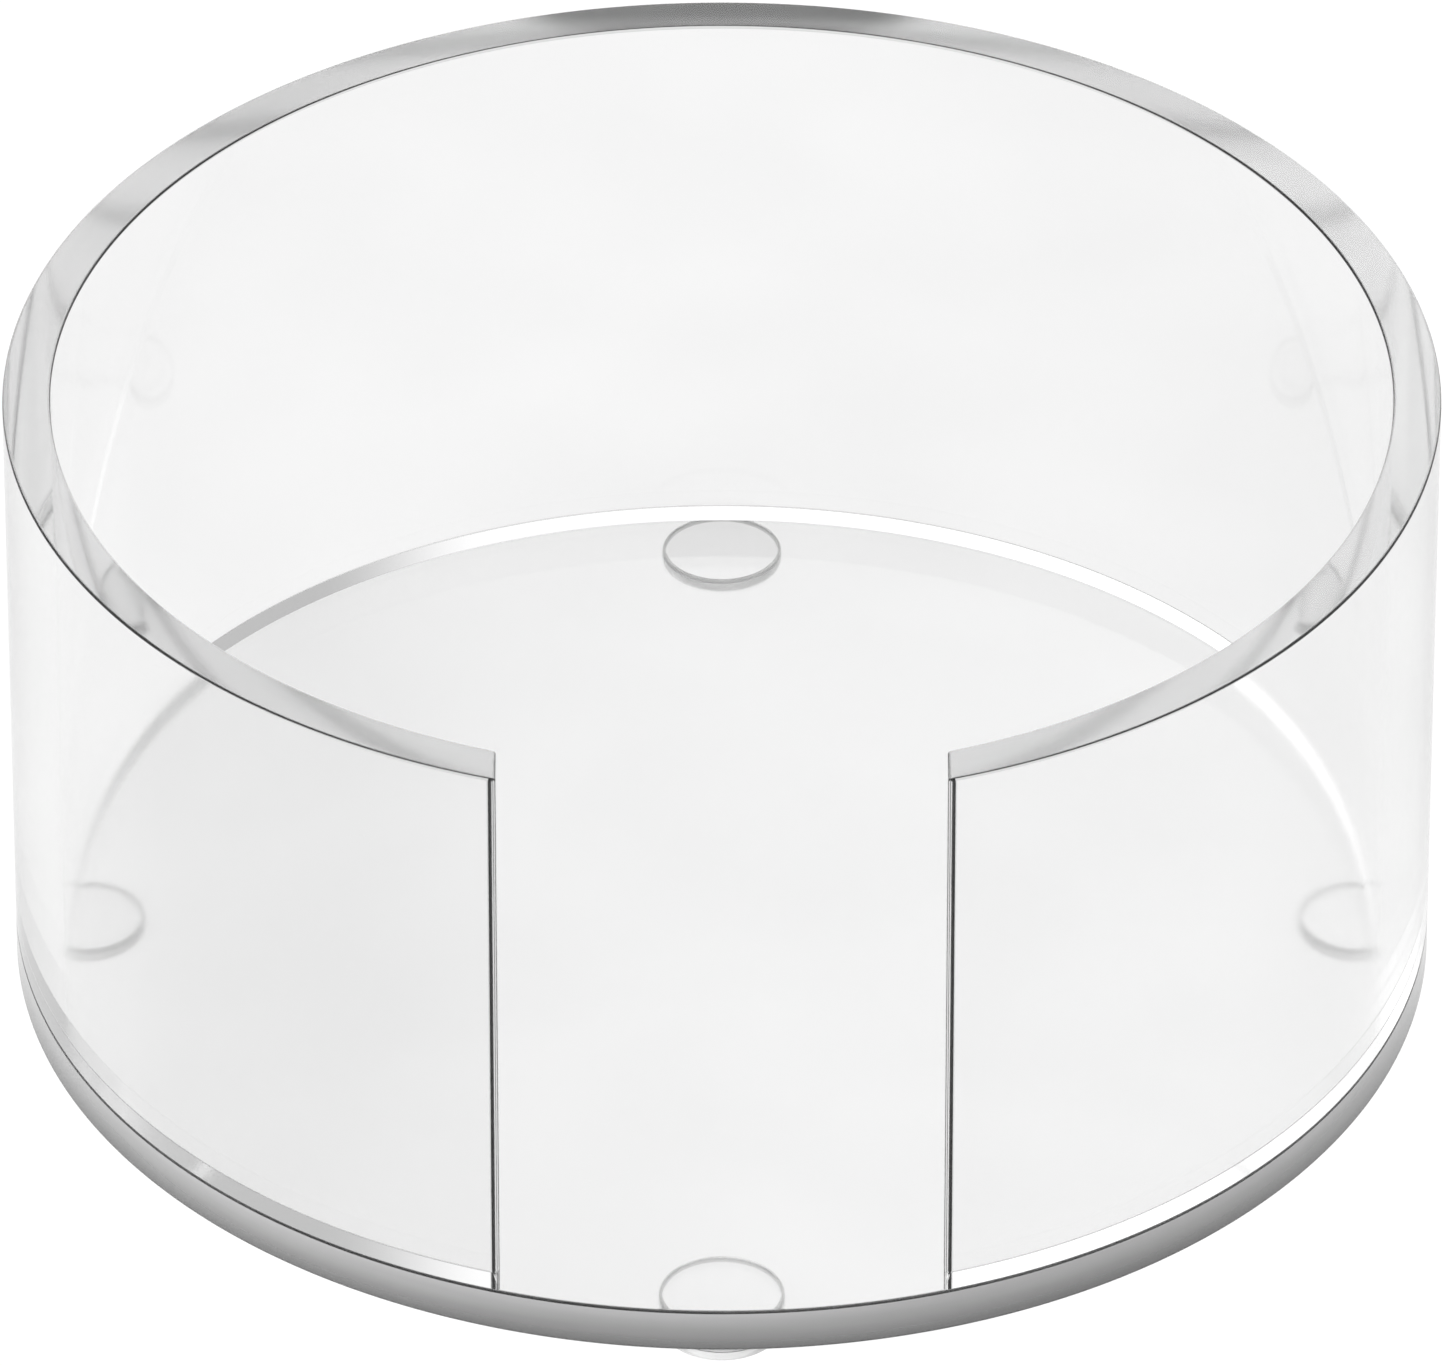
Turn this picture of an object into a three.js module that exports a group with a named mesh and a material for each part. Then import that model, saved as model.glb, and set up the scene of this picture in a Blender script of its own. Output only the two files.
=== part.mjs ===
// Round open-front holder in clear acrylic: a slotted tube wall cemented on a disc base, on four bumper feet.
// Millimetres, +Z up. The origin is on the table under the middle of the base, and the open front faces -Y.
import * as THREE from "three";

// Wall: a length of tube, cut open at the front.
const OUTER_DIAMETER = 120;
const WALL_THICKNESS = 4;
const WALL_HEIGHT = 51.4;
const SLOT_WIDTH = 36.6;

// Base: a disc as wide as the tube.
const BASE_THICKNESS = 4;

// Bumper feet: soft discs near the base's edge, each on its own adhesive disc.
const FOOT_DIAMETER = 10.4;
const FOOT_THICKNESS = 1.125;
const FOOT_EDGE_ROUNDING = 0.25;
const FOOT_INSET = 0.2;
const ADHESIVE_THICKNESS = 0.125;
const ADHESIVE_MARGIN = 0.2;

// How finely round shapes are divided.
const BODY_FACETS = 180;
const FOOT_FACETS = 48;
const ROUNDING_STEPS = 3;

const outerRadius = OUTER_DIAMETER / 2;
const innerRadius = outerRadius - WALL_THICKNESS;
const footRadius = FOOT_DIAMETER / 2;
const footCircleRadius = outerRadius - FOOT_INSET - footRadius;
const adhesiveBottom = FOOT_THICKNESS;
const baseBottom = adhesiveBottom + ADHESIVE_THICKNESS;
const wallBottom = baseBottom + BASE_THICKNESS;

const clearAcrylic = { color: 0xf4f6f6, roughness: 0.03, metalness: 0, transparent: true, opacity: 0.35 };
const clearRubber = { color: 0xe9ebeb, roughness: 0.25, metalness: 0, transparent: true, opacity: 0.55 };
const clearAdhesive = { color: 0xf0f1ee, roughness: 0.4, metalness: 0, transparent: true, opacity: 0.5 };

function namedMesh(name, geometry, finish) {
  const mesh = new THREE.Mesh(geometry, new THREE.MeshStandardMaterial(finish));
  mesh.name = name;
  return mesh;
}

// The slot's sides are flat and parallel, so they meet the two round faces at slightly different angles.
function wallOutline() {
  const front = -Math.PI / 2;
  const outerHalfAngle = Math.asin(SLOT_WIDTH / 2 / outerRadius);
  const innerHalfAngle = Math.asin(SLOT_WIDTH / 2 / innerRadius);
  const fullTurn = 2 * Math.PI;
  const outline = new THREE.Shape();
  outline.absarc(0, 0, outerRadius, front + outerHalfAngle, front + fullTurn - outerHalfAngle, false);
  outline.absarc(0, 0, innerRadius, front + fullTurn - innerHalfAngle, front + innerHalfAngle, true);
  outline.closePath();
  return outline;
}

function makeWall() {
  const geometry = new THREE.ExtrudeGeometry(wallOutline(), {
    depth: WALL_HEIGHT,
    bevelEnabled: false,
    curveSegments: BODY_FACETS / 2,
  });
  const wall = namedMesh("wall", geometry, clearAcrylic);
  wall.position.z = wallBottom;
  return wall;
}

// A plain upright disc that stands on z = 0.
function disc(radius, thickness, facets) {
  const geometry = new THREE.CylinderGeometry(radius, radius, thickness, facets);
  geometry.rotateX(Math.PI / 2);
  geometry.translate(0, 0, thickness / 2);
  return geometry;
}

function makeBase() {
  const base = namedMesh("base", disc(outerRadius, BASE_THICKNESS, BODY_FACETS), clearAcrylic);
  base.position.z = baseBottom;
  return base;
}

// Half section of a foot, from the table up the outside to its flat top. The lower edge is rounded.
function footProfile() {
  const rounding = Math.min(FOOT_EDGE_ROUNDING, FOOT_THICKNESS / 2);
  const profile = [new THREE.Vector2(0, 0)];
  for (let step = 0; step <= ROUNDING_STEPS; step += 1) {
    const angle = (step / ROUNDING_STEPS) * (Math.PI / 2);
    const radius = footRadius - rounding + rounding * Math.sin(angle);
    profile.push(new THREE.Vector2(radius, rounding - rounding * Math.cos(angle)));
  }
  profile.push(new THREE.Vector2(footRadius, FOOT_THICKNESS));
  profile.push(new THREE.Vector2(0, FOOT_THICKNESS));
  return profile;
}

// One foot with its adhesive, placed on the foot circle at the given direction.
function makeFoot(side, direction) {
  const group = new THREE.Group();
  group.position.x = footCircleRadius * direction.x;
  group.position.y = footCircleRadius * direction.y;
  const footGeometry = new THREE.LatheGeometry(footProfile(), FOOT_FACETS);
  footGeometry.rotateX(Math.PI / 2);
  group.add(namedMesh("foot_" + side, footGeometry, clearRubber));
  const adhesiveGeometry = disc(footRadius - ADHESIVE_MARGIN, ADHESIVE_THICKNESS, FOOT_FACETS);
  const adhesive = namedMesh("adhesive_" + side, adhesiveGeometry, clearAdhesive);
  adhesive.position.z = adhesiveBottom;
  group.add(adhesive);
  return group;
}

function makeFeet() {
  const directions = {
    front: { x: 0, y: -1 },
    back: { x: 0, y: 1 },
    left: { x: -1, y: 0 },
    right: { x: 1, y: 0 },
  };
  return Object.entries(directions).map(([side, direction]) => makeFoot(side, direction));
}

const holder = new THREE.Group();
holder.add(makeWall(), makeBase(), ...makeFeet());

export default holder;
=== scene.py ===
"""Clear acrylic holder with an open front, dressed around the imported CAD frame.

Metres, +Z up, the open front at -Y. The wall, the base and the four bumpers are rebuilt here with rounded edges and
clear materials, each in the place of its CAD solid.
"""
import math

import bmesh
import bpy
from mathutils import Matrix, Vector


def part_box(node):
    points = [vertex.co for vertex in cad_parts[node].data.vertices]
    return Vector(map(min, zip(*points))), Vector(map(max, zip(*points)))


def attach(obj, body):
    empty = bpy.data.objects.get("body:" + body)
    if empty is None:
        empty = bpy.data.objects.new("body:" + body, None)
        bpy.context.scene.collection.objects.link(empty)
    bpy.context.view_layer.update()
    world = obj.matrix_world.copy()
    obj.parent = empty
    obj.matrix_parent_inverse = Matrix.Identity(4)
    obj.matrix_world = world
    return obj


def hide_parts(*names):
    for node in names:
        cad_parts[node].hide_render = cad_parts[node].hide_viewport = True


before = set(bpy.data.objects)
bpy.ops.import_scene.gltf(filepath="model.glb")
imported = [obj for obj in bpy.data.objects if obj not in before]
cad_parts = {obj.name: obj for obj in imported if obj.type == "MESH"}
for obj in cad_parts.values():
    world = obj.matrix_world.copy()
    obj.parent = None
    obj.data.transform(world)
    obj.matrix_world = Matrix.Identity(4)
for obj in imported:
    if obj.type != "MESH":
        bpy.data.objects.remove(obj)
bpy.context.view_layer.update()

MM = 0.001
SAME_PLACE = 1e-7

# Places that come from the frame.
wall_low, wall_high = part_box("wall")
base_low, base_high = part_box("base")
OUTER_RADIUS = base_high.x
WALL_THICKNESS = 4.0 * MM
SLOT_HALF_WIDTH = 18.3 * MM

# Polishing only just breaks the edges, and less so where the wall stands on the base.
WALL_ROUNDING = 0.24 * MM
WALL_SEAT_SHARE = 0.35
BASE_ROUNDING = 0.25 * MM
FOOT_ROUNDING = 0.25 * MM
ROUNDING_SEGMENTS = 4
SHARP_ANGLE = math.radians(40)
BODY_STEPS = 512
FOOT_STEPS = 128
SUPPORT = 0.02 * MM

# Air left between clear bodies, so that light crosses one surface at a time.
JOINT_FILM = 0.04 * MM
FOOT_FILM = 0.03 * MM

# Which material slot of a piece each kind of face has.
FACE, RIM, EDGE, END = range(4)
SIDE, RING = 1, 2

# Clear acrylic. Tint is per crossing, absorption per metre, and the clear share is what isn't satin.
ACRYLIC_IOR = 1.49
WALL_TINT = 0.975
BASE_TINT = 0.97
# Painted shade: the rounded edges are coloured darker than the faces, to draw dark lines along them.
EDGE_PAINTED_SHADE = 0.85
# Painted shade: the base's side band is coloured grey, and darker still towards its bottom, standing in for the
# shade seen through the cut edge.
BAND_PAINTED_SHADE = 0.72
BAND_PAINTED_SHADE_LOW = 0.28
WALL_ABSORPTION = 1.2
BASE_ABSORPTION = 5.5
WALL_ROUGHNESS = 0.05
BASE_ROUGHNESS = 0.12
EDGE_ROUGHNESS = 0.03
RIM_ROUGHNESS = 0.08
BAND_ROUGHNESS = 0.12
RIM_CLEAR = 0.93
END_CLEAR = 0.82
BAND_CLEAR = 0.6
TINT_SPREAD = 0.012
BAND_TINT_SPREAD = 0.06
BAND_STREAKS = (1, 1, 20)
TINT_PATCHES = 35
POLISH_PATCHES = 60
POLISH_SPREAD = 0.2

# Clear rubber.
RUBBER_IOR = 1.45
RUBBER_TINT = 1.0
# Painted shade: the bumpers' sides, and darker still the rounded ring at their top, are coloured grey to draw their
# dark outlines.
RUBBER_SIDE_PAINTED_SHADE = 0.78
RUBBER_SIDE_CLEAR = 0.5
RUBBER_RING_PAINTED_SHADE = 0.55
RUBBER_RING_CLEAR = 0.4
RUBBER_ABSORPTION = 6.0
RUBBER_TINT_SPREAD = 0.02
RUBBER_ROUGHNESS = (0.02, 0.06)
RUBBER_CAST_PATCHES = 400
RUBBER_POLISH_PATCHES = 900

# Stage.
STAGE_HALF = 3.0
STAGE_ROUGHNESS = 0.9
FLOOR_GAP = 0.1 * MM
FLOOR_ALBEDO = 0.08
FLOOR_GLOW = 0.86
FLOOR_CLOUD = 0.012
FLOOR_CLOUD_PATCHES = 45
BACKDROP_GLOW = 1.05
SKY_STRENGTH = 0.9
SOFTBOXES = {"key": ((-0.62, -0.52, 0.35), 7.0), "fill": ((0.75, -0.35, 0.30), 3.0)}
SOFTBOX_SIZE = 0.4

# The card behind the object: its place, and its brightness from left to right.
CARD_Y = 0.3
CARD_HALF_WIDTH = 0.6
CARD_LOW = 0.10
CARD_HIGH = 0.8
CARD_STOPS = [
    (-0.050, 0.5),
    (-0.026, 1.1),
    (0.010, 1.2),
    (0.045, 1.4),
    (0.11, 1.55),
    (0.22, 1.55),
    (0.32, 0.9),
    (0.6, 0.7),
]

CAMERA_ELEVATION = math.radians(34.641)
CAMERA_DISTANCE = 1506.7 * MM
CAMERA_TARGET = Vector((0.06 * MM, 0, wall_high.z - 29.95 * MM))
CAMERA_LENS = 444.9
CAMERA_SENSOR = 36
CAMERA_REACH = 20

# Above this count of crossings the rim's back and the base's side band come out lighter.
LIGHT_BOUNCES = 13


def new_object(name, bm):
    mesh = bpy.data.meshes.new(name)
    bm.to_mesh(mesh)
    bm.free()
    mesh.polygons.foreach_set("use_smooth", [True] * len(mesh.polygons))
    piece = bpy.data.objects.new(name, mesh)
    bpy.context.scene.collection.objects.link(piece)
    return piece


def weigh_edges(bm, seat=None):
    """Marks the sharp edges for rounding, and those at the seat's height for less of it."""
    bmesh.ops.recalc_face_normals(bm, faces=bm.faces)
    weight = bm.edges.layers.float.new("bevel_weight_edge")
    for edge in bm.edges:
        if edge.calc_face_angle(0) < SHARP_ANGLE:
            continue
        on_seat = seat is not None and all(abs(vertex.co.z - seat) < SAME_PLACE for vertex in edge.verts)
        edge[weight] = WALL_SEAT_SHARE if on_seat else 1.0


def round_edges(piece, width):
    bevel = piece.modifiers.new("edge_rounding", "BEVEL")
    bevel.width = width
    bevel.segments = ROUNDING_SEGMENTS
    bevel.limit_method = "WEIGHT"
    bevel.harden_normals = True
    # The rounded faces take the edge material, with its painted shade.
    bevel.material = EDGE


def make_wall():
    """The tube, swept from one flat side of the slot round to the other."""
    inner_radius = OUTER_RADIUS - WALL_THICKNESS
    outer_start = math.asin(SLOT_HALF_WIDTH / OUTER_RADIUS)
    inner_start = math.asin(SLOT_HALF_WIDTH / inner_radius)
    low = wall_low.z + JOINT_FILM
    high = wall_high.z
    bm = bmesh.new()
    sections = []
    for step in range(BODY_STEPS + 1):
        share = step / BODY_STEPS
        outer = -math.pi / 2 + outer_start + share * (2 * math.pi - 2 * outer_start)
        inner = -math.pi / 2 + inner_start + share * (2 * math.pi - 2 * inner_start)
        ox, oy = OUTER_RADIUS * math.cos(outer), OUTER_RADIUS * math.sin(outer)
        ix, iy = inner_radius * math.cos(inner), inner_radius * math.sin(inner)
        corners = [(ox, oy, low), (ox, oy, high), (ix, iy, high), (ix, iy, low)]
        sections.append([bm.verts.new(corner) for corner in corners])
    kinds = (FACE, RIM, FACE, FACE)
    for first, second in zip(sections, sections[1:]):
        for i, kind in enumerate(kinds):
            j = (i + 1) % len(kinds)
            face = bm.faces.new((first[i], first[j], second[j], second[i]))
            face.material_index = kind
    for end in (sections[0], sections[-1]):
        bm.faces.new(end).material_index = END
    weigh_edges(bm, low)
    wall = new_object("clear_wall", bm)
    round_edges(wall, WALL_ROUNDING)
    return wall


def lathe(name, profile, steps, centre, kinds, sharp=False):
    """Turns a half section about an upright axis.

    The section is (radius, height) points that start and end on the axis. Kinds maps a row of faces to its material
    slot, and sharp keeps a crease at the section's corners.
    """
    bm = bmesh.new()
    rings = []
    for radius, height in profile:
        if radius == 0:
            rings.append([bm.verts.new((centre.x, centre.y, height))])
            continue
        ring = []
        for step in range(steps):
            angle = 2 * math.pi * step / steps
            x = centre.x + radius * math.cos(angle)
            y = centre.y + radius * math.sin(angle)
            ring.append(bm.verts.new((x, y, height)))
        rings.append(ring)
    for row, (low, high) in enumerate(zip(rings, rings[1:])):
        for i in range(steps):
            j = (i + 1) % steps
            if len(low) == 1:
                face = bm.faces.new((low[0], high[i], high[j]))
            elif len(high) == 1:
                face = bm.faces.new((low[i], low[j], high[0]))
            else:
                face = bm.faces.new((low[i], low[j], high[j], high[i]))
            face.material_index = kinds.get(row, FACE)
    weigh_edges(bm)
    for edge in bm.edges:
        edge.smooth = not sharp or edge.calc_face_angle(0) < SHARP_ANGLE
    return new_object(name, bm)


def make_base():
    profile = [(0, base_low.z), (OUTER_RADIUS, base_low.z), (OUTER_RADIUS, base_high.z), (0, base_high.z)]
    base = lathe("clear_base", profile, BODY_STEPS, Vector((0, 0, 0)), {1: SIDE})
    round_edges(base, BASE_ROUNDING)
    return base


def quarter_round(radius, height, start):
    """Points of a bumper's rounded edge about (radius, height), from the start angle on in degrees."""
    angles = [math.radians(start + 90 * step / ROUNDING_SEGMENTS) for step in range(ROUNDING_SEGMENTS + 1)]
    return [(radius + FOOT_ROUNDING * math.cos(angle), height + FOOT_ROUNDING * math.sin(angle)) for angle in angles]


def make_foot(side):
    """A bumper with rounded edges and the adhesive disc on it, as one clear body."""
    low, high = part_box("foot_" + side)
    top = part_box("adhesive_" + side)[1].z - FOOT_FILM
    centre = (low + high) / 2
    turn = (high.x - low.x) / 2 - FOOT_ROUNDING
    profile = [(0, low.z), (turn - SUPPORT, low.z)]
    profile += quarter_round(turn, low.z + FOOT_ROUNDING, -90)
    profile += quarter_round(turn, high.z - FOOT_ROUNDING, 0)
    profile += [(turn - SUPPORT, high.z), (turn - SUPPORT, top), (turn - 2 * SUPPORT, top), (0, top)]
    top_round = 3 + ROUNDING_SEGMENTS
    kinds = {row: SIDE for row in range(2, top_round)}
    kinds.update({row: RING for row in range(top_round + 1, top_round + ROUNDING_SEGMENTS)})
    return lathe("bumper_" + side, profile, FOOT_STEPS, centre, kinds, sharp=True)


class Nodes:
    """A material's node tree, with short calls for what the materials below share."""

    def __init__(self, name):
        self.material = bpy.data.materials.new(name)
        self.material.use_nodes = True
        self.tree = self.material.node_tree
        self.shader = self.tree.nodes["Principled BSDF"]
        self.output = self.tree.nodes["Material Output"]
        self.place = self.tree.nodes.new("ShaderNodeTexCoord").outputs["Object"]

    def add(self, kind, **inputs):
        node = self.tree.nodes.new(kind)
        for name, value in inputs.items():
            self.feed(node, name, value)
        return node

    def feed(self, node, name, value):
        """Links a socket to a node's input, or sets the input to a plain value."""
        if isinstance(value, bpy.types.NodeSocket):
            self.tree.links.new(value, node.inputs[name])
        else:
            node.inputs[name].default_value = value

    def math(self, operation, first, second):
        node = self.tree.nodes.new("ShaderNodeMath")
        node.operation = operation
        self.feed(node, 0, first)
        self.feed(node, 1, second)
        return node.outputs[0]

    def along(self, axis):
        return self.add("ShaderNodeSeparateXYZ", Vector=self.place).outputs[axis]

    def noise(self, scale, detail=2.0, stretch=(1, 1, 1)):
        mapping = self.add("ShaderNodeMapping", Vector=self.place, Scale=stretch)
        return self.add("ShaderNodeTexNoise", Vector=mapping.outputs[0], Scale=scale, Detail=detail).outputs["Fac"]

    def range(self, value, low, high, to_low, to_high):
        node = self.tree.nodes.new("ShaderNodeMapRange")
        names = ("Value", "From Min", "From Max", "To Min", "To Max")
        for name, number in zip(names, (value, low, high, to_low, to_high)):
            self.feed(node, name, number)
        return node.outputs["Result"]

    def ramp(self, value, stops):
        """Grey levels at chosen values, joined smoothly."""
        low, high = stops[0][0], stops[-1][0]
        node = self.add("ShaderNodeValToRGB", Fac=self.range(value, low, high, 0, 1))
        node.color_ramp.interpolation = "EASE"
        elements = node.color_ramp.elements
        while len(elements) < len(stops):
            elements.new(0.5)
        for element, (at, grey) in zip(elements, stops):
            element.position = (at - low) / (high - low)
            element.color = (grey, grey, grey, 1)
        return node.outputs["Color"]

    def grey(self, value):
        return self.add("ShaderNodeCombineColor", Red=value, Green=value, Blue=value).outputs["Color"]

    def absorb(self, density):
        volume = self.add("ShaderNodeVolumeAbsorption", Color=(0, 0, 0, 1), Density=density)
        self.feed(self.output, "Volume", volume.outputs[0])


def acrylic(name, tint_and_shade, density, roughness, clear=1.0, bottom_painted_shade=1.0, spread=TINT_SPREAD, stretch=(1, 1, 1)):
    """Polished acrylic, whose colour varies a little; painted shade may darken it towards the bottom of the base's
    side.
    """
    n = Nodes(name)
    patchy_tint_and_shade = n.range(n.noise(TINT_PATCHES, stretch=stretch), 0.3, 0.7, tint_and_shade - spread, tint_and_shade)
    # Painted shade: darker towards the bottom of the base's side, down to the bottom value.
    shade = n.range(n.along("Z"), base_low.z, base_high.z, bottom_painted_shade, 1.0)
    n.feed(n.shader, "Base Color", n.grey(n.math("MULTIPLY", patchy_tint_and_shade, shade)))
    smooth = roughness * (1 - POLISH_SPREAD)
    worn = roughness * (1 + POLISH_SPREAD)
    n.feed(n.shader, "Roughness", n.range(n.noise(POLISH_PATCHES, stretch=stretch), 0.35, 0.65, smooth, worn))
    n.feed(n.shader, "Transmission Weight", clear)
    n.feed(n.shader, "IOR", ACRYLIC_IOR)
    n.absorb(density)
    return n.material


def clear_rubber(name, tint_and_shade, clear=1.0):
    n = Nodes(name)
    patchy_tint_and_shade = n.range(n.noise(RUBBER_CAST_PATCHES), 0.3, 0.7, tint_and_shade - RUBBER_TINT_SPREAD, tint_and_shade)
    n.feed(n.shader, "Base Color", n.grey(patchy_tint_and_shade))
    n.feed(n.shader, "Roughness", n.range(n.noise(RUBBER_POLISH_PATCHES), 0.3, 0.7, *RUBBER_ROUGHNESS))
    n.feed(n.shader, "Transmission Weight", clear)
    n.feed(n.shader, "IOR", RUBBER_IOR)
    n.absorb(RUBBER_ABSORPTION)
    return n.material


def dress(piece, materials, slot, *nodes):
    for material in materials:
        piece.data.materials.append(material)
    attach(piece, "root")
    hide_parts(*nodes)


def stage_sheet(name, corners, albedo):
    """A matt glowing sheet, and its nodes, which still need an emission strength."""
    bm = bmesh.new()
    bm.faces.new([bm.verts.new(corner) for corner in corners])
    sheet = new_object(name, bm)
    n = Nodes(name)
    n.feed(n.shader, "Base Color", (albedo, albedo, albedo, 1))
    n.feed(n.shader, "Roughness", STAGE_ROUGHNESS)
    n.feed(n.shader, "Specular IOR Level", 0.0)
    n.feed(n.shader, "Emission Color", (1, 1, 1, 1))
    sheet.data.materials.append(n.material)
    return sheet, n


def level_corners(z):
    half = STAGE_HALF
    return [(-half, -half, z), (half, -half, z), (half, half, z), (-half, half, z)]


def make_floor():
    """A pale floor, and the white one that the camera sees past the object in its place."""
    floor, n = stage_sheet("floor", level_corners(-FLOOR_GAP), FLOOR_ALBEDO)
    patches = n.noise(FLOOR_CLOUD_PATCHES, detail=1.0)
    glow = n.range(patches, 0.35, 0.65, FLOOR_GLOW - FLOOR_CLOUD, FLOOR_GLOW + FLOOR_CLOUD)
    n.feed(n.shader, "Emission Strength", glow)
    floor.visible_camera = False
    backdrop, n = stage_sheet("backdrop", level_corners(-2 * FLOOR_GAP), 0)
    n.feed(n.shader, "Emission Strength", BACKDROP_GLOW)
    backdrop.visible_diffuse = False
    backdrop.visible_glossy = False
    backdrop.visible_transmission = False
    backdrop.visible_shadow = False


def make_card():
    """A grey card across the back of the studio, which the base and the cut edges mirror."""
    left, right = -CARD_HALF_WIDTH, CARD_HALF_WIDTH
    outline = [(left, CARD_LOW), (right, CARD_LOW), (right, CARD_HIGH), (left, CARD_HIGH)]
    corners = [(x, CARD_Y, z) for x, z in outline]
    card, n = stage_sheet("card", corners, 0)
    n.feed(n.shader, "Emission Strength", n.ramp(n.along("X"), CARD_STOPS))
    card.visible_camera = False


def make_light():
    """An even sky, and two soft boxes that shade the satin edges but aren't mirrored in the clear faces."""
    world = bpy.data.worlds.new("studio")
    bpy.context.scene.world = world
    world.use_nodes = True
    background = world.node_tree.nodes["Background"]
    background.inputs["Strength"].default_value = SKY_STRENGTH
    background.inputs["Color"].default_value = (1, 1, 1, 1)
    for name, (place, power) in SOFTBOXES.items():
        box = bpy.data.objects.new(name, bpy.data.lights.new(name, "AREA"))
        bpy.context.scene.collection.objects.link(box)
        box.data.energy = power
        box.data.size = SOFTBOX_SIZE
        box.location = place
        box.rotation_euler = (-Vector(place)).to_track_quat("-Z", "Y").to_euler()
        box.visible_glossy = False
        box.visible_transmission = False


def make_camera():
    camera = bpy.data.objects.new("camera", bpy.data.cameras.new("camera"))
    bpy.context.scene.collection.objects.link(camera)
    camera.data.sensor_width = CAMERA_SENSOR
    camera.data.lens = CAMERA_LENS
    camera.data.clip_end = CAMERA_REACH
    back = Vector((0, -math.cos(CAMERA_ELEVATION), math.sin(CAMERA_ELEVATION)))
    camera.location = CAMERA_TARGET + CAMERA_DISTANCE * back
    camera.rotation_euler = (math.pi / 2 - CAMERA_ELEVATION, 0, 0)
    bpy.context.scene.camera = camera


# Each piece's materials are in the order of its face kinds.
wall_materials = [
    acrylic("wall_acrylic", WALL_TINT, WALL_ABSORPTION, WALL_ROUGHNESS),
    acrylic("rim_acrylic", WALL_TINT, WALL_ABSORPTION, RIM_ROUGHNESS, RIM_CLEAR),
    # The rounded edges carry painted shade: they are coloured darker than the faces.
    acrylic("wall_edge_acrylic_painted_shade", EDGE_PAINTED_SHADE, WALL_ABSORPTION, EDGE_ROUGHNESS),
    acrylic("end_acrylic", WALL_TINT, WALL_ABSORPTION, RIM_ROUGHNESS, END_CLEAR),
]
# The band's satin share and streaks, with its grey painted shade that darkens towards the bottom.
band_finish_and_shade = {"clear": BAND_CLEAR, "bottom_painted_shade": BAND_PAINTED_SHADE_LOW, "spread": BAND_TINT_SPREAD, "stretch": BAND_STREAKS}
base_materials = [
    acrylic("base_acrylic", BASE_TINT, BASE_ABSORPTION, BASE_ROUGHNESS),
    acrylic("band_acrylic_painted_shade", BAND_PAINTED_SHADE, BASE_ABSORPTION, BAND_ROUGHNESS, **band_finish_and_shade),
    acrylic("base_edge_acrylic_painted_shade", EDGE_PAINTED_SHADE, BASE_ABSORPTION, EDGE_ROUGHNESS),
]
rubber_materials = [
    clear_rubber("clear_rubber", RUBBER_TINT),
    # The side and ring materials carry painted shade.
    clear_rubber("clear_rubber_side_painted_shade", RUBBER_SIDE_PAINTED_SHADE, RUBBER_SIDE_CLEAR),
    clear_rubber("clear_rubber_ring_painted_shade", RUBBER_RING_PAINTED_SHADE, RUBBER_RING_CLEAR),
]

dress(make_wall(), wall_materials, "acrylic", "wall")
dress(make_base(), base_materials, "acrylic", "base")
for side in ("front", "back", "left", "right"):
    dress(make_foot(side), rubber_materials, "bumper", "foot_" + side, "adhesive_" + side)

make_floor()
make_card()
make_light()
make_camera()

scene = bpy.context.scene
scene.view_settings.view_transform = "Standard"
scene.view_settings.look = "None"
scene.cycles.max_bounces = LIGHT_BOUNCES
scene.cycles.transmission_bounces = LIGHT_BOUNCES
scene.cycles.glossy_bounces = LIGHT_BOUNCES
scene.cycles.blur_glossy = 0.0
